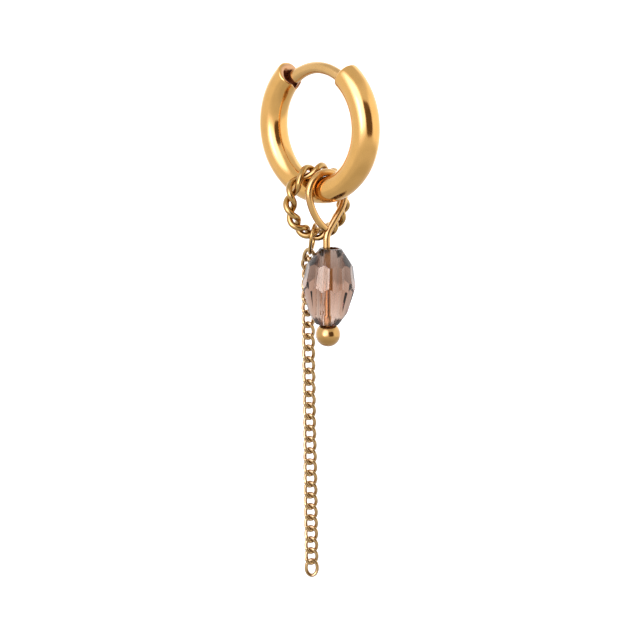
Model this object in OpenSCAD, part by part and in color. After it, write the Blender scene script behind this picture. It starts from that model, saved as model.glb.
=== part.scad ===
// Hinged hoop earring with a twisted ring, a faceted crystal drop and a fine
// curb chain.  Millimetres, +Z up.  The origin is the middle of the ear wire at
// its highest point, where the earlobe carries it.  The hoop stands in the XZ
// plane, its front faces -Y, the catch is at -X and the hinge at +X.

/* [Hoop] */
// Radius of the hoop, to the centre of its tube
hoop_r = 6.0; // [5.6:0.1:6.4]
// Diameter of the hoop's tube
tube_d = 2.5; // [2.3:0.1:2.6]
// Angle from the top of the hoop to each rounded tube end
end_a = 38.0; // [37:0.5:39]
// Radius that rounds the two tube ends
end_round = 0.35; // [0.25:0.05:0.4]

/* [Ear wire and hinge] */
// Radius of the ear wire's bend, to the centre of the wire
wire_r = 5.5; // [5.4:0.05:5.55]
// Diameter of the ear wire
wire_d = 1.1; // [0.9:0.05:1.15]
// Angle from the top to the blunt tip of the ear wire
tip_a = 35.5; // [34:0.5:36]
// Angle from the top to the hinge pin
pin_a = 41; // [40.5:0.5:42]
// Diameter of the hinge pin
pin_d = 0.5; // [0.4:0.05:0.5]
// Length of the hinge pin, hidden inside the tube
pin_l = 2.0; // [1.8:0.05:2.05]
// Radial play of the hinge pin
pin_play = 0.02; // [0.01:0.01:0.04]

/* [Twisted ring] */
// Half width of the ring, to the centre of its rope
ring_w = 2.94; // [2.9:0.01:2.98]
// Half height of the ring, to the centre of its rope
ring_h = 3.10; // [3.08:0.01:3.12]
// Diameter of one strand
strand_d = 0.56; // [0.5:0.02:0.56]
// Distance of each strand from the middle of the rope
strand_off = 0.41; // [0.38:0.01:0.42]
// Direction that the ring's face turns to
ring_az = 74; // [73:1:75]

/* [Crystal drop] */
// Diameter of the head pin's wire
shaft_d = 0.7; // [0.6:0.05:0.7]
// Diameter of the ball at the head pin's foot
ball_d = 2.28; // [2.0:0.02:2.3]
// Direction that the eye's face turns to
eye_az = 78; // [77:1:79]
// Height of the crystal bead
bead_h = 7.34; // [7.26:0.02:7.36]
// Diameter of the hole through the crystal bead
bead_bore = 1.6; // [1.58:0.02:1.64]

/* [Chain] */
// Diameter of the jump ring's wire
jump_wire = 0.32; // [0.30:0.02:0.36]
// Half width of the oval jump ring, to the centre of its wire
jump_w = 1.1; // [1.08:0.01:1.12]
// Half height of the oval jump ring, to the centre of its wire
jump_h = 1.5; // [1.48:0.01:1.52]
// Width of the curb chain
chain_w = 1.32; // [1.08:0.04:1.32]
// Thickness of the curb chain
chain_t = 0.6; // [0.5:0.05:0.6]

/* [Hidden] */
$fn = 96;
eps = 0.01;

hoop_z = -wire_r;                 // height of the hoop's centre
pin_x = wire_r * sin(pin_a);
pin_z = hoop_z + wire_r * cos(pin_a);

// The catch: a hollow mouth in the tube's end, open to the inside of the hoop
mouth_r = 0.88;
mouth_c = 5.62;
mouth_w = 1.56;
mouth_a = 46.5;
// The hinge's slot, also open to the inside of the hoop
slot_w = 1.22;
slot_top = 6.15;
slot_a = 50;
knuckle_r = 0.62;
knuckle_w = 1.14;

// Middle of the twisted ring, and how far its strands have turned at stations
// round it
ring_at = [-0.35, 0.07, -12.63];
// station and turn in degrees; the last row is the first one, one round later
twist = [
    [-8, -504],
    [54, 29],
    [81, 186],
    [108, 344],
    [150, 504],
    [180, 685],
    [212, 876],
    [240, 1064],
    [270, 1258],
    [298, 1455],
    [325, 1656],
    [352, 1836],
    [414, 2369]
];
round_turn = 2340;                // thirteen half turns in one round
ring_step = 6;                    // degrees between two sections of a strand

// The head pin: where it hangs on the hoop, and its slight lean
drop_x = 0.87;
drop_z = hoop_z - sqrt(hoop_r * hoop_r - drop_x * drop_x);
drop_lean = 0.7;
eye_c = [0.10, -11.75];           // centre of the eye's upper bend
eye_r = 2.0;
eye_left_r = 5.0;                 // flatter bend of the open leg
eye_left_a = 190;
eye_left_end = 230.9;
eye_right_r = 2.6;                // bend of the closed leg
eye_right_a = 20;
eye_leg_a = -37;
neck_r = 1.8;                     // bend from the closed leg into the shaft
ball_z = -25.27;

// The crystal bead stands on the ball and leans on its pin
bead_foot = [0.98, -0.05, -24.31];
bead_lean = 3.1;
bead_lean_az = 44;                // direction that its top leans to
bead_turn = 12;
// rows of twelve facets: how far each row's flats are from the middle at the
// foot and at the top of the bead, and how far the row is turned
bead_rows = [
    [6.32, 1.00, 15],
    [3.10, 1.86, 0],
    [1.55, 3.46, 15],
    [0.97, 5.69, 0]
];

// The jump ring hangs in the twisted ring and leans against the chain's pull
jump_at = [-0.72, -0.31, -16.20];
jump_lean = 13;
jump_az = -57;
jump_roll = -20;
jump_side = jump_h - jump_w;
// route of the chain: x, y, z and which way its flat side faces
route = [
    [-1.34, -0.10, -17.98, -40],
    [-1.66, 0.12, -18.44, -35],
    [-2.06, 0.44, -19.26, -20],
    [-2.28, 0.66, -20.06, 0],
    [-2.33, 0.74, -21.00, 20],
    [-2.33, 0.74, -22.50, 40],
    [-2.33, 0.74, -26.00, 44],
    [-2.33, 0.74, -31.00, 44],
    [-2.33, 0.74, -36.00, 44],
    [-2.33, 0.74, -41.00, 44],
    [-2.33, 0.74, -46.00, 44],
    [-2.33, 0.74, -51.00, 44]
];
chain_sides = 8;

// ---- helpers ----

// A bent round wire about the Y axis, between two angles measured from the top
// towards +X
module bend(r, d, a0, a1)
    rotate([90, 0, 0])
        rotate_extrude(angle = a1 - a0, start = 90 - a1)
            translate([r, 0]) circle(d = d);

// Lays children drawn in the XY plane into an upright plane through x0
module upright(x0, az)
    translate([x0, 0, 0]) rotate([90, 0, az]) children();

// A straight round wire in the XY plane
module rod(p, q, d)
    translate([p[0], p[1], 0])
        rotate([0, 0, atan2(q[1] - p[1], q[0] - p[0])])
            rotate([0, 90, 0])
                cylinder(h = norm(q - p), d = d);

// A bent round wire in the XY plane
module arc(c, r, a0, a1, d)
    translate([c[0], c[1], 0])
        rotate_extrude(angle = a1 - a0, start = a0)
            translate([r, 0]) circle(d = d);

// A ball that fills the joint between two wires, a hair thicker than they are
module wire_joint(p, d, more = 0.01)
    translate([p[0], p[1], 0]) sphere(d = d + more);

function unit(v) = v / norm(v);
function polar(c, r, a) = [c[0] + r * cos(a), c[1] + r * sin(a)];

// Faces of a tube of n rings with k points each
function tube_faces(n, k, closed) = concat(
    [for (i = [0 : (closed ? n - 1 : n - 2)], j = [0 : k - 1])
        [i * k + j, ((i + 1) % n) * k + (j + 1) % k, i * k + (j + 1) % k]],
    [for (i = [0 : (closed ? n - 1 : n - 2)], j = [0 : k - 1])
        [i * k + j, ((i + 1) % n) * k + j, ((i + 1) % n) * k + (j + 1) % k]],
    closed ? [] : [[for (j = [0 : k - 1]) j],
                   [for (j = [k - 1 : -1 : 0]) (n - 1) * k + j]]);

// ---- hoop ----

// Rounded end of the tube, on the side given by s
module tube_end(s)
    translate([0, 0, hoop_z])
        rotate([0, s * end_a, 0])
            translate([0, 0, hoop_r])
                rotate([0, -s * 90, 0])
                    rotate_extrude() {
                        translate([0, -0.2])
                            square([tube_d / 2 - 0.25, end_round]);
                        square([tube_d / 2 - end_round, end_round]);
                        intersection() {
                            translate([tube_d / 2 - end_round, 0])
                                circle(r = end_round);
                            square([tube_d / 2, end_round]);
                        }
                    }

module hoop_tube() color("goldenrod")
    difference() {
        union() {
            translate([0, 0, hoop_z]) bend(hoop_r, tube_d, end_a, 360 - end_a);
            tube_end(1);
            tube_end(-1);
        }
        // mouth of the catch
        translate([0, 0, hoop_z]) rotate([90, 0, 0])
            rotate_extrude(angle = mouth_a - 32, start = 90 + 32) {
                translate([mouth_c, 0]) circle(r = mouth_r);
                translate([4.4, -mouth_w / 2]) square([mouth_c - 4.4, mouth_w]);
            }
        // slot of the hinge
        translate([0, 0, hoop_z]) rotate([90, 0, 0])
            rotate_extrude(angle = slot_a - 32, start = 90 - slot_a)
                translate([4.4, -slot_w / 2]) square([slot_top - 4.4, slot_w]);
        // blind hole for the hinge pin
        translate([pin_x, 0, pin_z]) rotate([90, 0, 0])
            cylinder(h = pin_l + 2 * eps, d = pin_d + 2 * eps, center = true);
    }

module ear_wire() color("goldenrod")
    difference() {
        union() {
            translate([0, 0, hoop_z]) bend(wire_r, wire_d, -tip_a, pin_a);
            translate([pin_x, 0, pin_z]) rotate([90, 0, 0])
                cylinder(h = knuckle_w, r = knuckle_r, center = true);
        }
        translate([pin_x, 0, pin_z]) rotate([90, 0, 0])
            cylinder(h = 2 * knuckle_w, d = pin_d + 2 * pin_play, center = true);
    }

module hinge_pin() color("darkgoldenrod")
    translate([pin_x, 0, pin_z]) rotate([90, 0, 0])
        cylinder(h = pin_l, d = pin_d, center = true);

// ---- twisted ring ----

function table_turn(a) = let (k = floor((a + 8) / 360))
    lookup(a - 360 * k, twist) + round_turn * k;
function turn(a) =
    (table_turn(a - 10) + table_turn(a) + table_turn(a + 10)) / 3;
ring_t = [cos(ring_az), sin(ring_az), 0];
ring_n = [sin(ring_az), -cos(ring_az), 0];
function rope_mid(a) = ring_at + ring_w * cos(a) * ring_t + [0, 0, ring_h * sin(a)];
function rope_out(a) = cos(a) * ring_t + [0, 0, sin(a)];
function strand_dir(a) = cos(turn(a)) * rope_out(a) + sin(turn(a)) * ring_n;
function strand_at(a) = rope_mid(a) + strand_off * strand_dir(a);
function strand_section(a, k) =
    let (p = strand_at(a),
         t = unit(strand_at(a + 1) - strand_at(a - 1)),
         d = strand_dir(a),
         u = unit(d - (d * t) * t),
         v = cross(t, u))
    [for (j = [0 : k - 1])
        p + strand_d / 2 * (cos(360 * j / k) * u + sin(360 * j / k) * v)];

// One wire that goes round twice and closes on itself
module twisted_ring() color("gold") {
    sections = [for (a = [0 : ring_step : 720 - ring_step]) strand_section(a, 8)];
    polyhedron(points = [for (s = sections) each s],
               faces = tube_faces(len(sections), 8, true));
}

// ---- crystal drop ----

eye_p = polar(eye_c, eye_r, eye_left_a);
eye_left_c = polar(eye_p, -eye_left_r, eye_left_a);
eye_q = polar(eye_c, eye_r, eye_right_a);
eye_right_c = polar(eye_q, -eye_right_r, eye_right_a);
eye_e = polar(eye_right_c, eye_right_r, eye_leg_a);
leg_d = [sin(eye_leg_a), -cos(eye_leg_a)];
neck_t = neck_r * tan(-eye_leg_a / 2);
neck_corner = eye_e + leg_d * (eye_e[0] / -leg_d[0]);
neck_in = neck_corner - leg_d * neck_t;
neck_out = [neck_corner[0], neck_corner[1] - neck_t];

// Turns the whole drop by its lean, about its place on the hoop
module leaning()
    translate([drop_x, 0, drop_z]) rotate([0, -drop_lean, 0])
        translate([-drop_x, 0, -drop_z]) children();

module head_pin() color("goldenrod")
    leaning() {
        upright(drop_x, eye_az) {
            arc(eye_left_c, eye_left_r, eye_left_a, eye_left_end, shaft_d);
            arc(eye_c, eye_r, eye_right_a, eye_left_a, shaft_d);
            arc(eye_right_c, eye_right_r, eye_leg_a, eye_right_a, shaft_d);
            rod(eye_e, neck_in, shaft_d);
            arc([neck_out[0] + neck_r, neck_out[1]], neck_r,
                180 + eye_leg_a, 180, shaft_d);
            rod(neck_out, [neck_out[0], ball_z], shaft_d);
            for (p = [eye_p, eye_q, eye_e, neck_in, neck_out])
                wire_joint(p, shaft_d, 0.05);
        }
        translate([drop_x, 0, ball_z]) sphere(d = ball_d);
    }

module crystal_bead() color("rosybrown")
    translate(bead_foot) rotate([0, 0, bead_lean_az]) rotate([0, bead_lean, 0])
        difference() {
            intersection_for (row = bead_rows)
                rotate([0, 0, row[2] + bead_turn - bead_lean_az])
                    cylinder(h = bead_h, r1 = row[0] / cos(15),
                             r2 = row[1] / cos(15), $fn = 12);
            translate([0, 0, -1]) cylinder(h = bead_h + 2, d = bead_bore);
        }

// ---- jump ring and chain ----

module jump_ring() color("gold")
    translate(jump_at) rotate([0, jump_lean, 0]) rotate([90, 0, jump_az])
        rotate([0, 0, jump_roll]) {
        arc([0, jump_side], jump_w, 0, 180, jump_wire);
        arc([0, -jump_side], jump_w, 180, 360, jump_wire);
        for (s = [-1, 1]) {
            rod([s * jump_w, -jump_side], [s * jump_w, jump_side], jump_wire);
            for (t = [-1, 1]) wire_joint([s * jump_w, t * jump_side], jump_wire);
        }
    }

function chain_section(i, k) =
    let (n = len(route),
         p = [for (j = [0 : 2]) route[i][j]],
         a = [for (j = [0 : 2]) route[max(i - 1, 0)][j]],
         b = [for (j = [0 : 2]) route[min(i + 1, n - 1)][j]],
         t = unit(b - a),
         w0 = [cos(route[i][3]), sin(route[i][3]), 0],
         w = unit(w0 - (w0 * t) * t),
         v = cross(t, w))
    [for (j = [0 : k - 1])
        p + chain_w / 2 * cos(360 * j / k) * w + chain_t / 2 * sin(360 * j / k) * v];

module chain() color("gold") {
    sections = [for (i = [0 : len(route) - 1]) chain_section(i, chain_sides)];
    polyhedron(points = [for (s = sections) each s],
               faces = tube_faces(len(sections), chain_sides, false));
}

hoop_tube();
ear_wire();
hinge_pin();
twisted_ring();
head_pin();
crystal_bead();
jump_ring();
chain();
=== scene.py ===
"""Looks of the hinged hoop earring: hoop, ear wire, twisted ring, crystal drop and
curb chain.  Lengths in the tables are millimetres and become metres in the meshes.
The hoop stands in the XZ plane, its front faces -Y, the catch is at -X and the hinge
at +X, and the origin is the middle of the ear wire at its highest point."""
import math

import bmesh
import bpy
from mathutils import Matrix, Vector


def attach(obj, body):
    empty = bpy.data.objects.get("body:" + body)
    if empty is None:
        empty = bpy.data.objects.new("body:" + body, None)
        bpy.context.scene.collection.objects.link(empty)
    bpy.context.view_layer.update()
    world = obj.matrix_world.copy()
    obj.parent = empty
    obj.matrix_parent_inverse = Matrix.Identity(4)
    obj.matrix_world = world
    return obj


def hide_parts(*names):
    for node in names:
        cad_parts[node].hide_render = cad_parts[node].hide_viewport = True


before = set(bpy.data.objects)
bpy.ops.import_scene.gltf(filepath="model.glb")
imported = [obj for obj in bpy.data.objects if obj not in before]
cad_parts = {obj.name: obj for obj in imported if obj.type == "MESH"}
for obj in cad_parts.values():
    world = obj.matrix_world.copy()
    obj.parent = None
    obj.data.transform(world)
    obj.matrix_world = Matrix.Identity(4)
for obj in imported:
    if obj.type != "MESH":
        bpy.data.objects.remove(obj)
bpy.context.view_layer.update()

MM = 0.001
scene = bpy.context.scene
rad = math.radians


def cosd(a):
    return math.cos(rad(a))


def sind(a):
    return math.sin(rad(a))


def smooth(a, b, x):
    """0 at a, 1 at b, level at both ends."""
    t = min(1.0, max(0.0, (x - a) / (b - a)))
    return t * t * (3 - 2 * t)


def turned(v, axis, angle):
    return Matrix.Rotation(rad(angle), 3, axis) @ v


# ------------------------------------------------------------------ materials


def textured(name, coordinates="Object"):
    """A new node material, its Principled shader, and its coordinates in millimetres."""
    mat = bpy.data.materials.new(name)
    mat.use_nodes = True
    tree = mat.node_tree
    tree.nodes.clear()
    out = tree.nodes.new("ShaderNodeOutputMaterial")
    shader = tree.nodes.new("ShaderNodeBsdfPrincipled")
    tree.links.new(shader.outputs["BSDF"], out.inputs["Surface"])
    place = tree.nodes.new("ShaderNodeTexCoord")
    size = tree.nodes.new("ShaderNodeMapping")
    size.inputs["Scale"].default_value = (1000, 1000, 1000)
    tree.links.new(place.outputs[coordinates], size.inputs["Vector"])
    return mat, tree, shader, out, size.outputs["Vector"]


def noise(tree, vector, scale, detail=3.0, rough=0.55, distortion=0.0):
    n = tree.nodes.new("ShaderNodeTexNoise")
    n.inputs["Scale"].default_value = scale
    n.inputs["Detail"].default_value = detail
    n.inputs["Roughness"].default_value = rough
    n.inputs["Distortion"].default_value = distortion
    tree.links.new(vector, n.inputs["Vector"])
    return n.outputs["Fac"]


def spread(tree, value, low, high, at=(0.3, 0.7)):
    r = tree.nodes.new("ShaderNodeMapRange")
    r.inputs["From Min"].default_value = at[0]
    r.inputs["From Max"].default_value = at[1]
    r.inputs["To Min"].default_value = low
    r.inputs["To Max"].default_value = high
    tree.links.new(value, r.inputs["Value"])
    return r.outputs["Result"]


def blended(tree, value, a, b):
    m = tree.nodes.new("ShaderNodeMix")
    m.data_type = "RGBA"
    m.inputs["A"].default_value = (*a, 1)
    m.inputs["B"].default_value = (*b, 1)
    tree.links.new(value, m.inputs["Factor"])
    return m.outputs["Result"]


def metal(name, base, second, rough, bumps=1.0, grain=2.2, lacquer=0.6):
    """Polished plated metal under a thin clear lacquer: a slow change of tone, a patchy
    polish, and fine wear."""
    mat, tree, shader, _, mm = textured(name)
    tone = noise(tree, mm, grain * 0.35, 2.0)
    tree.links.new(blended(tree, spread(tree, tone, 0, 1), base, second),
                   shader.inputs["Base Color"])
    polish = noise(tree, mm, grain, 4.0, 0.65)
    tree.links.new(spread(tree, polish, rough[0], rough[1]), shader.inputs["Roughness"])
    shader.inputs["Metallic"].default_value = 1.0
    shader.inputs["Coat Weight"].default_value = lacquer
    shader.inputs["Coat Roughness"].default_value = 0.10
    shader.inputs["Coat IOR"].default_value = 1.5
    # broad unevenness of the polish, and fine rubbed grain on top of it
    broad = tree.nodes.new("ShaderNodeBump")
    broad.inputs["Strength"].default_value = 0.5
    broad.inputs["Distance"].default_value = 0.0000040 * bumps
    tree.links.new(noise(tree, mm, grain * 0.5, 1.0), broad.inputs["Height"])
    fine = tree.nodes.new("ShaderNodeBump")
    fine.inputs["Strength"].default_value = 0.30
    fine.inputs["Distance"].default_value = 0.0000008 * bumps
    tree.links.new(noise(tree, mm, grain * 5, 3.0), fine.inputs["Height"])
    tree.links.new(broad.outputs["Normal"], fine.inputs["Normal"])
    tree.links.new(fine.outputs["Normal"], shader.inputs["Normal"])
    return mat


tube_gold = metal("tube_gold", (0.74, 0.415, 0.125), (0.69, 0.385, 0.110), (0.10, 0.17), 1.0, 2.2, 0.3)
wire_gold = metal("wire_gold", (0.69, 0.415, 0.155), (0.64, 0.380, 0.135), (0.20, 0.30), 0.4, 3.0, 0.3)
pin_gold = metal("pin_gold", (0.68, 0.392, 0.132), (0.62, 0.350, 0.110), (0.20, 0.28), 1.2, 4.0, 0.5)
ball_gold = metal("ball_gold", (0.54, 0.305, 0.090), (0.48, 0.260, 0.070), (0.13, 0.20), 1.0, 2.5)
rope_gold = metal("rope_gold", (0.53, 0.310, 0.088), (0.42, 0.235, 0.060), (0.14, 0.24), 1.4, 3.5, 0.5)
chain_gold = metal("chain_gold", (0.56, 0.365, 0.155), (0.43, 0.260, 0.090), (0.17, 0.28), 1.2, 5.0, 0.8)
steel = metal("hinge_steel", (0.62, 0.400, 0.170), (0.50, 0.310, 0.120), (0.25, 0.38), 1.4, 4.0)


def smoky_glass():
    """Cut glass with a smoky mauve body colour, and a faint unevenness of the polish."""
    mat, tree, shader, out, mm = textured("smoky_glass")
    shader.inputs["Transmission Weight"].default_value = 1.0
    shader.inputs["IOR"].default_value = 1.56
    shader.inputs["Specular Tint"].default_value = (1.0, 0.85, 0.78, 1)
    tone = noise(tree, mm, 0.45, 2.0)
    tree.links.new(blended(tree, spread(tree, tone, 0, 1), (0.975, 0.925, 0.905), (0.945, 0.895, 0.885)),
                   shader.inputs["Base Color"])
    shader.inputs["Roughness"].default_value = 0.0
    bump = tree.nodes.new("ShaderNodeBump")
    bump.inputs["Strength"].default_value = 0.25
    bump.inputs["Distance"].default_value = 0.0000004
    tree.links.new(noise(tree, mm, 0.9, 2.0), bump.inputs["Height"])
    tree.links.new(bump.outputs["Normal"], shader.inputs["Normal"])
    body = tree.nodes.new("ShaderNodeVolumeAbsorption")
    body.inputs["Color"].default_value = (0.47, 0.235, 0.08, 1)
    body.inputs["Density"].default_value = 505.0
    tree.links.new(body.outputs["Volume"], out.inputs["Volume"])
    return mat


glass = smoky_glass()


def unplated_catch_with_painted_shade():
    """The unplated inside of the catch: coppery at the lip, and painted darker deeper in as painted shade in the
    hollow.
    """
    mat, tree, shader, _, mm = textured("catch_unplated_painted_shade")
    shader.inputs["Metallic"].default_value = 1.0
    place = tree.nodes.new("ShaderNodeVectorMath")
    place.operation = "SUBTRACT"
    tree.links.new(mm, place.inputs[0])
    place.inputs[1].default_value = (-3.69, 0.0, -0.77)
    painted_shade_depth = tree.nodes.new("ShaderNodeVectorMath")
    painted_shade_depth.operation = "DOT_PRODUCT"
    tree.links.new(place.outputs["Vector"], painted_shade_depth.inputs[0])
    painted_shade_depth.inputs[1].default_value = (-0.788, 0.0, -0.616)
    patchy = noise(tree, mm, 2.2, 3.0)
    add = tree.nodes.new("ShaderNodeMath")
    add.operation = "MULTIPLY_ADD"
    add.inputs[1].default_value = 0.5
    tree.links.new(patchy, add.inputs[0])
    tree.links.new(painted_shade_depth.outputs["Value"], add.inputs[2])
    # painted shade: coppery at the lip, darkening to dark brown the deeper the point lies in the catch, with random
    # patches
    tree.links.new(blended(tree, spread(tree, add.outputs[0], 0, 1, (0.25, 1.50)),
                           (0.620, 0.345, 0.180), (0.340, 0.165, 0.085)),
                   shader.inputs["Base Color"])
    tree.links.new(spread(tree, noise(tree, mm, 6.0, 4.0), 0.26, 0.42), shader.inputs["Roughness"])
    bump = tree.nodes.new("ShaderNodeBump")
    bump.inputs["Strength"].default_value = 0.5
    bump.inputs["Distance"].default_value = 0.000008
    tree.links.new(noise(tree, mm, 2.5, 2.0), bump.inputs["Height"])
    tree.links.new(bump.outputs["Normal"], shader.inputs["Normal"])
    return mat


mouth_unplated_and_painted_shade = unplated_catch_with_painted_shade()

# ------------------------------------------------------------------- meshes


def piece(name, verts, faces, mat, body, nodes, sharp=40):
    """A mesh piece from millimetre points, riding a body and standing for CAD nodes."""
    mesh = bpy.data.meshes.new(name)
    mesh.from_pydata([tuple(c * MM for c in v) for v in verts], [], faces)
    bm = bmesh.new()
    bm.from_mesh(mesh)
    bmesh.ops.recalc_face_normals(bm, faces=bm.faces)
    bm.to_mesh(mesh)
    bm.free()
    ob = bpy.data.objects.new(name, mesh)
    scene.collection.objects.link(ob)
    finish_piece(ob, mat, sharp)
    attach(ob, body)
    if nodes:
        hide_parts(*nodes)
    return ob


def finish_piece(ob, mat, sharp):
    ob.data.materials.clear()
    ob.data.materials.append(mat)
    for p in ob.data.polygons:
        p.use_smooth = True
        p.material_index = 0
    ob.data.set_sharp_from_angle(angle=rad(sharp))


def skin(rings, closed=False, first=None, last=None):
    """Faces over rings of points, with a fan to a middle point at either end."""
    k, n = len(rings[0]), len(rings)
    verts = [p for ring in rings for p in ring]
    faces = []
    for i in range(n if closed else n - 1):
        a, b = i * k, ((i + 1) % n) * k
        for j in range(k):
            m = (j + 1) % k
            faces.append((a + j, a + m, b + m, b + j))
    for point, a in ((first, 0), (last, (n - 1) * k)):
        if point is not None:
            verts.append(point)
            for j in range(k):
                faces.append((a + j, a + (j + 1) % k, len(verts) - 1))
    return verts, faces


def carried(points, closed=False, start=None):
    """Directions across a line of points, turned no more than the line turns."""
    n = len(points)
    tangents = []
    for i in range(n):
        a = points[i - 1] if (i or closed) else points[0]
        b = points[(i + 1) % n] if (i < n - 1 or closed) else points[-1]
        tangents.append((b - a).normalized())
    u = start or Vector((0, 1, 0))
    u = (u - u.dot(tangents[0]) * tangents[0]).normalized()
    frames = []
    for t in tangents:
        u = (u - u.dot(t) * t).normalized()
        frames.append((t, u, t.cross(u)))
    return frames


def swept(points, radius, sides, frames, closed=False, ends=None):
    """Rings of a round wire along points; ends gives a rounding at the two flat ends."""
    rings = []
    for p, (t, u, v) in zip(points, frames):
        rings.append([p + radius * (math.cos(2 * math.pi * j / sides) * u
                                    + math.sin(2 * math.pi * j / sides) * v)
                      for j in range(sides)])
    if closed:
        return skin(rings, True)
    front, back = [], []
    for s, i, store in ((-1, 0, front), (1, len(points) - 1, back)):
        t, u, v = frames[i]
        e = ends[0] if s < 0 else ends[1]
        for q in range(1, 6):
            a = math.pi / 2 * q / 5
            r = radius - e + e * math.cos(a)
            c = points[i] + s * t * e * math.sin(a)
            store.append([c + r * (math.cos(2 * math.pi * j / sides) * u
                                   + math.sin(2 * math.pi * j / sides) * v)
                          for j in range(sides)])
    rings = front[::-1] + rings + back
    first = points[0] - frames[0][0] * ends[0]
    last = points[-1] + frames[-1][0] * ends[1]
    return skin(rings, False, first, last)


def cut(ob, tool, operation="DIFFERENCE"):
    """Applies an exact boolean of a helper object, then drops the helper."""
    mod = ob.modifiers.new("cut", "BOOLEAN")
    mod.operation = operation
    mod.solver = "EXACT"
    mod.object = tool
    bpy.context.view_layer.update()
    made = bpy.data.meshes.new_from_object(ob.evaluated_get(bpy.context.evaluated_depsgraph_get()))
    ob.modifiers.clear()
    old, name = ob.data, ob.data.name
    ob.data = made
    bpy.data.meshes.remove(old)
    made.name = name
    bpy.data.objects.remove(tool)


def helper(name, verts, faces):
    mesh = bpy.data.meshes.new(name)
    mesh.from_pydata([tuple(c * MM for c in v) for v in verts], [], faces)
    bm = bmesh.new()
    bm.from_mesh(mesh)
    bmesh.ops.recalc_face_normals(bm, faces=bm.faces)
    bm.to_mesh(mesh)
    bm.free()
    ob = bpy.data.objects.new(name, mesh)
    scene.collection.objects.link(ob)
    return ob


# --------------------------------------------------------------------- hoop

HOOP = Vector((0, 0, -5.5))       # middle of the hoop
HOOP_R, TUBE_R = 6.0, 1.275
WIRE_R, WIRE = 5.5, 0.55
PIN_A = 41.0                      # angle of the hinge from the top
PIN = HOOP + WIRE_R * Vector((sind(PIN_A), 0, cosd(PIN_A)))


def on_tube(theta, phi, rho):
    """Point at an angle from the top, an angle round the tube from its outer side, and
    a distance from the middle of the tube."""
    out = Vector((sind(theta), 0, cosd(theta)))
    return HOOP + out * (HOOP_R + rho * cosd(phi)) + Vector((0, rho * sind(phi), 0))


def tube_swell(theta):
    """The tube is a little thicker above the place where the drop and the ring hang."""
    a = abs((theta + 180) % 360 - 180)
    side = 0.085 if theta % 360 > 180 else 0.055
    return TUBE_R + side * (1 - smooth(112, 148, a))


def mouth_edge(phi):
    """How far from the top the rim of the catch lies, at each angle round the tube."""
    a = abs((phi + 180) % 360 - 180)
    turn = phi % 360 - 157
    notch = min(1.0, turn / 52 if turn > 0 else -turn / 38)
    return 35.0 + 2.4 * smooth(20, 100, a) + 7.0 * (0.5 + 0.5 * math.cos(math.pi * notch))


def mouth_wall(phi):
    """Distance from the middle of the tube to the inside of the catch."""
    a = abs((phi + 180) % 360 - 180)
    return 0.46 + 0.27 * smooth(15, 60, a) + 0.30 * smooth(75, 125, a) + 0.07 * smooth(110, 145, a)


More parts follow.
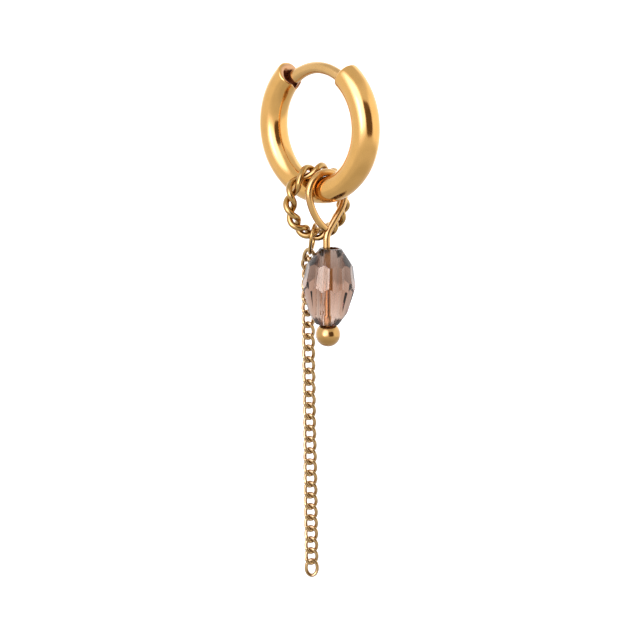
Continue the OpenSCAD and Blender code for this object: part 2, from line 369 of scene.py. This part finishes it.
def hoop_tube():
    k = 72
    phis = [360.0 * j / k for j in range(k)]
    rings = []
    floor, outer, right = 49.5, tube_swell(-45), tube_swell(38)
    # floor and wall of the catch, from its bottom out to the rim
    for share in (0.35, 0.7, 0.92):
        rings.append([on_tube(-floor, f, mouth_wall(f) * share) for f in phis])
    for s in (0.04, 0.12, 0.3, 0.55, 0.8):
        rings.append([on_tube(-(floor + s * (mouth_edge(f) + 2.2 - floor)), f, mouth_wall(f))
                      for f in phis])
    # the rounded rim
    for q in range(0, 13):
        a = math.pi * q / 12
        ring = []
        for f in phis:
            inner, wall = mouth_wall(f), outer - mouth_wall(f)
            back = min(0.5 * wall, 0.34) / HOOP_R * 57.3
            rho = inner + wall * (0.5 - 0.5 * math.copysign(abs(math.cos(a)) ** 0.8, math.cos(a)))
            ring.append(on_tube(-(mouth_edge(f) + back * (1 - math.sin(a) ** 0.8)), f, rho))
        rings.append(ring)
    # outside of the tube: from the rim to the regular part, and on to the other end
    for s in (0.15, 0.4, 0.7, 1.0):
        ring = []
        for f in phis:
            wall = outer - mouth_wall(f)
            edge = mouth_edge(f) + min(0.5 * wall, 0.34) / HOOP_R * 57.3
            ring.append(on_tube(-(edge + s * (54.0 - edge)), f, outer))
        rings.append(ring)
    steps = 176
    for i in range(1, steps + 1):
        theta = -54.0 - (360 - 54.0 - 38.0) * i / steps
        rings.append([on_tube(theta, f, tube_swell(theta)) for f in phis])
    # the rounded end on the hinge side
    end = 0.35
    for q in range(1, 9):
        a = math.pi / 2 * q / 8
        rho = right - end + end * math.cos(a)
        rings.append([on_tube(38.0 - 57.3 * end * math.sin(a) / (HOOP_R + rho * cosd(f)), f, rho)
                      for f in phis])
    for share in (0.7, 0.35):
        rings.append([on_tube(38.0 - 57.3 * end / (HOOP_R + 0.9 * share * cosd(f)), f, 0.9 * share)
                      for f in phis])
    verts, faces = skin(rings, False, on_tube(-floor, 0, 0), on_tube(38.0 - 57.3 * end / HOOP_R, 0, 0))
    ob = piece("hoop", verts, faces, tube_gold, "hoop", ["hoop_tube"], 50)
    # slot of the hinge, open to the end and to the inside of the hoop
    low, high, half = 4.3, 6.15, 0.61
    ring_set = []
    for i in range(13):
        theta = 32 + 18.0 * i / 12
        out = Vector((sind(theta), 0, cosd(theta)))
        ring = []
        for x, y in ((low, -half), (high - 0.12, -half), (high, -half + 0.12),
                     (high, half - 0.12), (high - 0.12, half), (low, half)):
            ring.append(HOOP + out * x + Vector((0, y, 0)))
        ring_set.append(ring)
    mid = [sum((p for p in r), Vector()) / 6 for r in (ring_set[0], ring_set[-1])]
    v, f = skin(ring_set, False, mid[0], mid[1])
    cut(ob, helper("slot_tool", v, f))
    finish_piece(ob, tube_gold, 50)
    # the inside material, carrying painted shade, goes on the cavity faces
    ob.data.materials.append(mouth_unplated_and_painted_shade)
    for p in ob.data.polygons:
        q = p.center / MM - HOOP
        theta = math.degrees(math.atan2(q.x, q.z))
        if -50 < theta < -34:
            x = math.hypot(q.x, q.z) - HOOP_R
            phi = math.degrees(math.atan2(q.y, x))
            # the plating stops part of the way over the rim; in the notch the whole rim takes the inside material as
            # painted shade
            wall = mouth_wall(phi)
            over = 1.0 if 112 < phi % 360 < 200 else 0.62
            outer = tube_swell(-45)
            if math.hypot(x, q.y) < min(wall + over * (outer - wall), outer - 0.02):
                p.material_index = 1
    return ob


hoop = hoop_tube()


def ear_wire():
    n = 120
    tip, root = -35.3 + 57.3 * 0.22 / WIRE_R, 41.0 - 2.0
    points = []
    for i in range(n + 1):
        a = tip + (root - tip) * i / n
        points.append(HOOP + WIRE_R * Vector((sind(a), 0, cosd(a))))
    frames = carried(points)
    v, f = swept(points, WIRE, 32, frames, ends=(0.22, 0.10))
    # toward the tip the wire is pressed a little thicker, on the inside most of all
    for i, p in enumerate(v):
        q = p - HOOP
        theta = math.degrees(math.atan2(q.x, q.z))
        way = Vector((sind(theta), 0, cosd(theta)))
        q -= way * WIRE_R
        q *= 1 + 0.06 * smooth(-20, -31, theta)
        inward = min(0.0, q.dot(way))
        v[i] = HOOP + way * WIRE_R + q + way * inward * 0.18 * smooth(0, -26, theta)
    ob = piece("ear_wire_bow", v, f, wire_gold, "ear_wire", ["ear_wire"], 50)
    # the knuckle that turns on the pin, with a small chamfer
    rings = []
    for y, r in ((-0.57, 0.30), (-0.57, 0.54), (-0.50, 0.62), (0.50, 0.62), (0.57, 0.54), (0.57, 0.30)):
        rings.append([PIN + Vector((r * math.cos(2 * math.pi * j / 48), y, r * math.sin(2 * math.pi * j / 48)))
                      for j in range(48)])
    v, f = skin(rings, True)
    cut(ob, helper("knuckle_tool", v, f), "UNION")
    rings = []
    for y in (-0.9, 0.9):
        rings.append([PIN + Vector((0.27 * math.cos(2 * math.pi * j / 32), y, 0.27 * math.sin(2 * math.pi * j / 32)))
                      for j in range(32)])
    v, f = skin(rings, False, PIN + Vector((0, -0.9, 0)), PIN + Vector((0, 0.9, 0)))
    cut(ob, helper("pin_tool", v, f))
    finish_piece(ob, wire_gold, 50)
    return ob


bow = ear_wire()


def hinge_pin():
    rings = []
    for y, r in ((-1.0, 0.19), (-0.95, 0.25), (-0.5, 0.25), (0.5, 0.25), (0.95, 0.25), (1.0, 0.19)):
        rings.append([PIN + Vector((r * math.cos(2 * math.pi * j / 32), y, r * math.sin(2 * math.pi * j / 32)))
                      for j in range(32)])
    v, f = skin(rings, False, PIN + Vector((0, -1.0, 0)), PIN + Vector((0, 1.0, 0)))
    return piece("hinge_rivet", v, f, steel, "hoop", ["hinge_pin"], 35)


rivet = hinge_pin()

# ------------------------------------------------------------- twisted ring

RING_AT = Vector((-0.35, 0.07, -12.63))
RING_W, RING_H, STRAND, STRAND_OFF, RING_AZ = 2.94, 3.10, 0.30, 0.385, 74.0
# angle round the ring, and how far the strands have turned there, in degrees
TWIST = [
    (-8, -504), (54, 29), (81, 186), (108, 344), (150, 504), (180, 685), (212, 876),
    (240, 1064), (270, 1258), (298, 1455), (325, 1656), (352, 1836), (414, 2369),
]


def table_turn(a):
    k = math.floor((a + 8) / 360)
    a -= 360 * k
    for (a0, t0), (a1, t1) in zip(TWIST, TWIST[1:]):
        if a <= a1:
            return t0 + (t1 - t0) * (a - a0) / (a1 - a0) + 2340 * k
    return TWIST[-1][1] + 2340 * k


def strand_turn(a):
    return (table_turn(a - 10) + table_turn(a) + table_turn(a + 10)) / 3


def twisted_ring():
    across = Vector((cosd(RING_AZ), sind(RING_AZ), 0))
    facing = Vector((sind(RING_AZ), -cosd(RING_AZ), 0))
    up = Vector((0, 0, 1))

    def strand(a):
        middle = RING_AT + RING_W * cosd(a) * across + RING_H * sind(a) * up
        out = cosd(a) * across + sind(a) * up
        t = strand_turn(a)
        d = cosd(t) * out + sind(t) * facing
        return middle + STRAND_OFF * d, d

    n, sides = 640, 16
    rings = []
    for i in range(n):
        a = 720.0 * i / n
        p, d = strand(a)
        t = (strand(a + 0.8)[0] - strand(a - 0.8)[0]).normalized()
        u = (d - d.dot(t) * t).normalized()
        v = t.cross(u)
        rings.append([p + STRAND * (math.cos(2 * math.pi * j / sides) * u
                                    + math.sin(2 * math.pi * j / sides) * v)
                      for j in range(sides)])
    v, f = skin(rings, True)
    return piece("twisted_hoop", v, f, rope_gold, "hoop", ["twisted_ring"], 60)


rope = twisted_ring()

# ------------------------------------------------------------- crystal drop

SHAFT, BALL = 0.35, 1.195
DROP_X = 0.87
DROP_Z = HOOP.z - math.sqrt(HOOP_R ** 2 - DROP_X ** 2)
BALL_Z = -25.34
EYE_AZ = 78.0


def leaning(p):
    pivot = Vector((DROP_X, 0, DROP_Z))
    return pivot + turned(p - pivot, "Y", -0.7)


def in_eye(x, z):
    """A point drawn in the eye's upright plane, leaning as the drop leans."""
    return leaning(Vector((DROP_X + x * cosd(EYE_AZ), x * sind(EYE_AZ), z)))


def head_pin():
    def polar(c, r, a):
        return (c[0] + r * cosd(a), c[1] + r * sind(a))

    top, r0 = (0.10, -11.75), 2.0
    p = polar(top, r0, 190)
    left = polar(p, -5.0, 190)
    q = polar(top, r0, 20)
    right = polar(q, -2.6, 20)
    e = polar(right, 2.6, -37)
    leg = (sind(-37), -cosd(37))
    neck_t = 1.8 * math.tan(rad(37) / 2)
    corner = (e[0] + leg[0] * (e[0] / -leg[0]), e[1] + leg[1] * (e[0] / -leg[0]))
    inn = (corner[0] - leg[0] * neck_t, corner[1] - leg[1] * neck_t)
    out = (corner[0], corner[1] - neck_t)
    flat = []
    for i in range(22):
        flat.append(polar(left, 5.0, 230.2 - (230.2 - 190) * i / 22))
    for i in range(60):
        flat.append(polar(top, r0, 190 - 170 * i / 60))
    for i in range(24):
        flat.append(polar(right, 2.6, 20 - 57 * i / 24))
    for i in range(8):
        s = i / 8
        flat.append((e[0] + (inn[0] - e[0]) * s, e[1] + (inn[1] - e[1]) * s))
    neck = (out[0] + 1.8, out[1])
    for i in range(14):
        flat.append(polar(neck, 1.8, 143 + 37 * i / 14))
    points = [in_eye(*c) for c in flat]
    for i in range(25):
        points.append(leaning(Vector((DROP_X, 0, out[1] + (BALL_Z + 1.25 - out[1]) * i / 24))))
    frames = carried(points, start=Vector((cosd(EYE_AZ - 90), sind(EYE_AZ - 90), 0)))
    sides = 24
    rings = []
    # rounded edge of the cut end
    t, u, v = frames[0]
    for q in range(5, 0, -1):
        a = math.pi / 2 * q / 5
        r = SHAFT - 0.06 + 0.06 * math.cos(a)
        c = points[0] - t * 0.06 * math.sin(a)
        rings.append([c + r * (math.cos(2 * math.pi * j / sides) * u + math.sin(2 * math.pi * j / sides) * v)
                      for j in range(sides)])
    for c, (t, u, v) in zip(points, frames):
        rings.append([c + SHAFT * (math.cos(2 * math.pi * j / sides) * u + math.sin(2 * math.pi * j / sides) * v)
                      for j in range(sides)])
    # the ball, with a small fillet where the wire meets it
    t, u, v = frames[-1]
    start = math.asin((SHAFT + 0.04) / BALL)
    profile = [(1.16, SHAFT + 0.005), (1.10, SHAFT + 0.02)]
    for i in range(41):
        a = start + (math.pi - start - 0.03) * i / 40
        profile.append((BALL * math.cos(a), BALL * math.sin(a)))
    for z, r in profile:
        c = leaning(Vector((DROP_X, 0, BALL_Z + z)))
        rings.append([c + r * (math.cos(2 * math.pi * j / sides) * u + math.sin(2 * math.pi * j / sides) * v)
                      for j in range(sides)])
    v, f = skin(rings, False, points[0] - frames[0][0] * 0.06,
                leaning(Vector((DROP_X, 0, BALL_Z - BALL))))
    ob = piece("head_pin_wire", v, f, pin_gold, "drop", ["head_pin"], 50)
    ob.data.materials.append(ball_gold)
    for p in ob.data.polygons:
        if p.center.z / MM < BALL_Z + 1.13:
            p.material_index = 1
    return ob


pin = head_pin()

BEAD_H = 7.34
BEAD_FOOT = Vector((0.98, -0.05, -24.31))
BEAD_LEAN, BEAD_LEAN_AZ, BEAD_TURN = 3.1, 44.0, 13.5
BORE = 0.80
# rows of twelve facets: distance of the flats at the foot and at the top, and turn
BEAD_ROWS = [(6.35, 1.03, 15), (3.10, 1.86, 0), (1.55, 3.46, 15), (1.12, 5.84, 0)]


def in_bead(p):
    """A point of the upright bead, leaning as it rests on its pin."""
    p = turned(turned(p, "Z", -BEAD_LEAN_AZ), "Y", BEAD_LEAN)
    return BEAD_FOOT + turned(p, "Z", BEAD_LEAN_AZ)


def crystal_bead():
    planes = []
    for r0, r1, turn in BEAD_ROWS:
        slope = (r1 - r0) / BEAD_H
        for i in range(12):
            a = 15 + turn + BEAD_TURN + 30 * i
            normal = Vector((cosd(a), sind(a), -slope))
            planes.append((Vector((r0 * cosd(a), r0 * sind(a), 0)), normal.normalized()))
    bm = bmesh.new()
    bmesh.ops.create_cube(bm, size=1.0)
    bmesh.ops.scale(bm, vec=(9, 9, BEAD_H), verts=bm.verts)
    bmesh.ops.translate(bm, vec=(0, 0, BEAD_H / 2), verts=bm.verts)
    for at, normal in planes:
        geom = bm.verts[:] + bm.edges[:] + bm.faces[:]
        made = bmesh.ops.bisect_plane(bm, geom=geom, dist=1e-5, plane_co=at, plane_no=normal,
                                      clear_outer=True)
        rim = [x for x in made["geom_cut"] if isinstance(x, bmesh.types.BMEdge)]
        if len(rim) > 2:
            bmesh.ops.contextual_create(bm, geom=rim)
    bmesh.ops.recalc_face_normals(bm, faces=bm.faces)
    bmesh.ops.bevel(bm, geom=bm.edges[:], offset=0.022, segments=1, profile=0.5, affect="EDGES",
                    offset_type="OFFSET", clamp_overlap=True)
    for vert in bm.verts:
        vert.co = in_bead(vert.co) * MM
    bmesh.ops.recalc_face_normals(bm, faces=bm.faces)
    mesh = bpy.data.meshes.new("crystal")
    bm.to_mesh(mesh)
    bm.free()
    ob = bpy.data.objects.new("crystal", mesh)
    scene.collection.objects.link(ob)
    # the drilled hole, with a slight flare at each mouth
    sides, rings = 40, []
    for z, r in ((-0.4, BORE + 0.08), (0.0, BORE + 0.04), (0.10, BORE), (0.5, BORE - 0.01),
                 (BEAD_H - 0.5, BORE - 0.01), (BEAD_H - 0.10, BORE), (BEAD_H, BORE + 0.04),
                 (BEAD_H + 0.4, BORE + 0.08)):
        rings.append([in_bead(Vector((r * math.cos(2 * math.pi * j / sides),
                                      r * math.sin(2 * math.pi * j / sides), z)))
                      for j in range(sides)])
    v, f = skin(rings, False, in_bead(Vector((0, 0, -0.4))), in_bead(Vector((0, 0, BEAD_H + 0.4))))
    cut(ob, helper("bore_tool", v, f))
    finish_piece(ob, glass, 14)
    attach(ob, "drop")
    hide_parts("crystal_bead")
    return ob


bead = crystal_bead()

# ----------------------------------------------------- jump ring and chain

JUMP_AT = Vector((-0.70, -0.22, -16.20))
JUMP_W, JUMP_H, JUMP = 1.1, 1.5, 0.16


def jump_point(x, y):
    p = turned(Vector((x, y, 0)), "Z", -20)
    p = turned(p, "X", 90)
    p = turned(p, "Z", -55)
    return JUMP_AT + turned(p, "Y", 13)


def jump_ring():
    side = JUMP_H - JUMP_W
    flat = []
    for i in range(40):
        a = 180.0 * i / 40
        flat.append((JUMP_W * cosd(a), side + JUMP_W * sind(a)))
    for i in range(6):
        flat.append((-JUMP_W, side - 2 * side * i / 6))
    for i in range(40):
        a = 180 + 180.0 * i / 40
        flat.append((JUMP_W * cosd(a), -side + JUMP_W * sind(a)))
    for i in range(6):
        flat.append((JUMP_W, -side + 2 * side * i / 6))
    points = [jump_point(*c) for c in flat]
    normal = (jump_point(1, 0) - JUMP_AT).cross(jump_point(0, 1) - JUMP_AT).normalized()
    n, sides = len(points), 16
    rings = []
    for i in range(n):
        t = (points[(i + 1) % n] - points[i - 1]).normalized()
        u = normal.cross(t)
        rings.append([points[i] + JUMP * (math.cos(2 * math.pi * j / sides) * u
                                          + math.sin(2 * math.pi * j / sides) * normal)
                      for j in range(sides)])
    v, f = skin(rings, True)
    return piece("jump_ring_oval", v, f, rope_gold, "hoop", ["jump_ring"], 60), points


jump, jump_line = jump_ring()

# route of the chain below its first link: x, y, z and which way its width points
ROUTE = [
    (-1.80, 0.14, -18.44, 8), (-2.17, 0.46, -19.26, -8), (-2.30, 0.66, -20.06, 4),
    (-2.33, 0.74, -21.00, 20), (-2.33, 0.74, -22.50, 40), (-2.33, 0.74, -26.00, 44),
    (-2.33, 0.74, -51.00, 44),
]
LINKS, LINK_D, LINK_B, LINK_TWIST = 29, 0.375, 0.485, -0.18


def chain():
    low = min(jump_line, key=lambda p: p.z)
    away = (Vector(ROUTE[0][:3]) - low).normalized()
    reach = 0.765
    start = low + away * (reach - JUMP - LINK_D / 2 - 0.08)
    route = [(start, 32.0)] + [(Vector(r[:3]), float(r[3])) for r in ROUTE]
    route[-1] = (Vector((-2.26, 0.81, -51.0 + reach + LINK_D / 2 + 0.13)), 44.0)
    lengths = [0.0]
    for (a, _), (b, _) in zip(route, route[1:]):
        lengths.append(lengths[-1] + (b - a).length)
    pitch = lengths[-1] / (LINKS - 1)
    reach = (pitch + LINK_D) / 2

    def along(s):
        s = min(max(s, 0.0), lengths[-1])
        for i in range(len(route) - 1):
            if s <= lengths[i + 1] or i == len(route) - 2:
                f = (s - lengths[i]) / (lengths[i + 1] - lengths[i])
                (a, wa), (b, wb) = route[i], route[i + 1]
                return a + (b - a) * f, wa + (wb - wa) * f

    verts, faces = [], []
    n, sides = 56, 10
    for i in range(LINKS):
        s = pitch * i
        c, width = along(s)
        t = (along(s + 0.45)[0] - along(s - 0.45)[0]).normalized()
        # a little play from link to link
        width += 3.0 * math.sin(2.3 * i + 0.7) + 2.0 * math.sin(5.1 * i)
        w = Vector((cosd(width), sind(width), 0))
        w = (w - w.dot(t) * t).normalized()
        z = w.cross(t)
        # the last link is a plain round one, a little larger
        plain = i == LINKS - 1
        tall = reach + (0.06 if plain else 0.0)
        # the lower links are bent a little wider
        half = LINK_B + 0.05 * smooth(15, 20, i) + (0.02 if plain else 0.0)
        if plain:
            c = c - Vector((0, 0, 0.06))
        rings = []

        def centre(a):
            h = 0.0 if plain else -LINK_TWIST * sind(2 * a)
            return Vector((half * cosd(a), tall * sind(a), h))

        for m in range(n):
            a = 360.0 * m / n
            p = centre(a)
            d = (centre(a + 2) - centre(a - 2)).normalized()
            u = Vector((0, 0, 1))
            u = (u - u.dot(d) * d).normalized()
            v = d.cross(u)
            ring = []
            for j in range(sides):
                x = 2 * math.pi * j / sides
                q = p + LINK_D / 2 * (math.cos(x) * u + math.sin(x) * v)
                # the two flat sides are filed
                flat = 0.30 - 0.02 * math.cos(3 * x)
                q.z = max(-flat, min(flat, q.z)) if not plain else q.z
                ring.append(c + q.x * w + q.y * t + q.z * z)
            rings.append(ring)
        v, f = skin(rings, True)
        base = len(verts)
        verts += v
        faces += [tuple(base + x for x in face) for face in f]
    return piece("curb_chain", verts, faces, chain_gold, "hoop", ["chain"], 35)


links = chain()

# ------------------------------------------------------- floor, light, camera

AZ, EL, ROLL = 43.9, 11.3, -0.5
SEEN_FROM = Vector((sind(AZ), -cosd(AZ), 0))
TO_RIGHT = Vector((cosd(AZ), sind(AZ), 0))


def floor():
    """A wide pale sweep far below the hanging piece."""
    mesh = bpy.data.meshes.new("floor")
    rings = []
    for r in (2, 6, 14, 30):
        rings.append([Vector((r * math.cos(2 * math.pi * j / 48), r * math.sin(2 * math.pi * j / 48), -0.30))
                      for j in range(48)])
    v, f = skin(rings, False, Vector((0, 0, -0.30)))
    mesh.from_pydata([tuple(p) for p in v], [], f)
    bm = bmesh.new()
    bm.from_mesh(mesh)
    bmesh.ops.recalc_face_normals(bm, faces=bm.faces)
    if sum(face.normal.z for face in bm.faces) < 0:
        bmesh.ops.reverse_faces(bm, faces=bm.faces)
    bm.to_mesh(mesh)
    bm.free()
    ob = bpy.data.objects.new("floor", mesh)
    scene.collection.objects.link(ob)
    mat, tree, shader, out, _ = textured("floor_white")
    place = tree.nodes.new("ShaderNodeTexCoord")
    tone = noise(tree, place.outputs["Object"], 1.5, 2.0)
    tree.links.new(blended(tree, spread(tree, tone, 0, 1), (0.93, 0.93, 0.93), (0.90, 0.90, 0.90)),
                   shader.inputs["Base Color"])
    shader.inputs["Roughness"].default_value = 0.9
    shader.inputs["Emission Color"].default_value = (1, 1, 1, 1)
    shader.inputs["Emission Strength"].default_value = 0.35
    mesh.materials.append(mat)
    ob.visible_glossy = False
    ob.visible_transmission = False
    ob.visible_diffuse = False


floor()


def studio():
    """A soft studio of broad patches, placed by direction: a softbox at the left of the
    camera, a dark gap at its right, a pale wall on the right and a pale backdrop."""
    world = bpy.data.worlds.new("studio")
    scene.world = world
    world.use_nodes = True
    tree = world.node_tree
    tree.nodes.clear()

    def calc(operation, a, b=None, c=None, clamp=False):
        n = tree.nodes.new("ShaderNodeMath")
        n.operation = operation
        n.use_clamp = clamp
        for i, value in enumerate((a, b, c)):
            if value is None:
                continue
            if isinstance(value, (int, float)):
                n.inputs[i].default_value = value
            else:
                tree.links.new(value, n.inputs[i])
        return n.outputs[0]

    def dot(vector, direction):
        n = tree.nodes.new("ShaderNodeVectorMath")
        n.operation = "DOT_PRODUCT"
        tree.links.new(vector, n.inputs[0])
        n.inputs[1].default_value = tuple(direction)
        return n.outputs["Value"]

    place = tree.nodes.new("ShaderNodeTexCoord").outputs["Generated"]
    ahead, side, height = dot(place, SEEN_FROM), dot(place, TO_RIGHT), dot(place, (0, 0, 1))
    azimuth = calc("MULTIPLY", calc("ARCTAN2", side, ahead), 57.29578)
    elevation = calc("MULTIPLY", calc("ARCSINE", height), 57.29578)

    def ramp(value, low, high):
        """0 below low and 1 above high, or the other way round, level at both ends."""
        n = tree.nodes.new("ShaderNodeMapRange")
        n.interpolation_type = "SMOOTHSTEP"
        a, b = (low, high) if low < high else (high, low)
        n.inputs["From Min"].default_value = a
        n.inputs["From Max"].default_value = b
        n.inputs["To Min"].default_value = 0.0 if low < high else 1.0
        n.inputs["To Max"].default_value = 1.0 if low < high else 0.0
        tree.links.new(value, n.inputs["Value"])
        return n.outputs["Result"]

    def patch(az, el, half_az, half_el, soft, power=4.0, slant=0.0, turn=azimuth):
        """A rounded rectangle of directions, soft at its edge."""
        x = calc("SUBTRACT", turn, az)
        y = calc("SUBTRACT", elevation, el)
        if slant:
            x = calc("SUBTRACT", x, calc("MULTIPLY", y, slant))
        x = calc("POWER", calc("ABSOLUTE", calc("DIVIDE", x, half_az)), power)
        y = calc("POWER", calc("ABSOLUTE", calc("DIVIDE", y, half_el)), power)
        q = calc("POWER", calc("ADD", x, y), 1.0 / power)
        return ramp(q, 1.0 + soft, 1.0 - soft)

    def over(light, value, mask):
        """The light with a patch of another strength laid over it."""
        return calc("MULTIPLY_ADD", calc("SUBTRACT", value, light), mask, light)

    turned_away = calc("ABSOLUTE", azimuth)
    light = over(1.0, 1.1, patch(-92, 10, 34, 40, 0.3))
    light = over(light, 1.45, patch(100, 10, 42, 28, 0.25))
    light = over(light, 1.55, ramp(turned_away, 122, 142))
    light = over(light, 0.85, ramp(elevation, 42, 58))
    light = over(light, 0.85, ramp(elevation, -12, -28))
    light = over(light, 0.70, ramp(elevation, -32, -55))
    box = patch(-28, 21, 32, 30, 0.30, 3.0)
    light = over(light, 2.1, box)
    light = over(light, 3.3, patch(-27, 22, 23, 23, 0.32, 3.0))
    core = patch(-34, 9, 9, 12, 0.25, 3.0)
    light = over(light, 8.0, core)
    box = calc("MULTIPLY", box, calc("SUBTRACT", 1.0, core))
    gap = patch(29, 10, 25, 22, 0.10, 4.0, -0.10)
    light = over(light, 0.11, gap)
    # the softbox is cooler than the room and its core, the gap warmer
    cool, tint = [tree.nodes.new("ShaderNodeMix") for _ in range(2)]
    for n, mask, colour in ((cool, box, (1.0, 1.02, 1.5, 1)), (tint, gap, (1.5, 1.0, 0.65, 1))):
        n.data_type = "RGBA"
        n.inputs["A"].default_value = (1, 1, 1, 1)
        n.inputs["B"].default_value = colour
        tree.links.new(mask, n.inputs["Factor"])
    tree.links.new(cool.outputs["Result"], tint.inputs["A"])

    seen = tree.nodes.new("ShaderNodeLightPath").outputs["Is Camera Ray"]
    lit = tree.nodes.new("ShaderNodeBackground")
    tree.links.new(light, lit.inputs["Strength"])
    white = tree.nodes.new("ShaderNodeBackground")
    white.inputs["Strength"].default_value = 1.2
    white.inputs["Color"].default_value = (1, 1, 1, 1)
    tree.links.new(tint.outputs["Result"], lit.inputs["Color"])
    mix = tree.nodes.new("ShaderNodeMixShader")
    out = tree.nodes.new("ShaderNodeOutputWorld")
    tree.links.new(seen, mix.inputs[0])
    tree.links.new(lit.outputs[0], mix.inputs[1])
    tree.links.new(white.outputs[0], mix.inputs[2])
    tree.links.new(mix.outputs[0], out.inputs["Surface"])
    world.cycles.sampling_method = "MANUAL"
    world.cycles.sample_map_resolution = 1024


studio()


def camera():
    data = bpy.data.cameras.new("camera")
    ob = bpy.data.objects.new("camera", data)
    scene.collection.objects.link(ob)
    scene.camera = ob
    data.lens = 90
    data.sensor_width = 36
    data.clip_start = 0.001
    data.clip_end = 200
    back = Vector((sind(AZ) * cosd(EL), -cosd(AZ) * cosd(EL), sind(EL)))
    right = TO_RIGHT.copy()
    up = back.cross(right)
    r = cosd(ROLL) * right + sind(ROLL) * up
    u = -sind(ROLL) * right + cosd(ROLL) * up
    ob.matrix_world = Matrix(((r.x, u.x, back.x, 0.104946), (r.y, u.y, back.y, -0.109081),
                              (r.z, u.z, back.z, 0.006167), (0, 0, 0, 1)))


camera()

scene.view_settings.view_transform = "Standard"
scene.view_settings.look = "None"
scene.cycles.max_bounces = 20
scene.cycles.glossy_bounces = 3
scene.cycles.transmission_bounces = 20
scene.cycles.transparent_max_bounces = 8
scene.cycles.sample_clamp_indirect = 1.2
scene.cycles.use_denoising = True
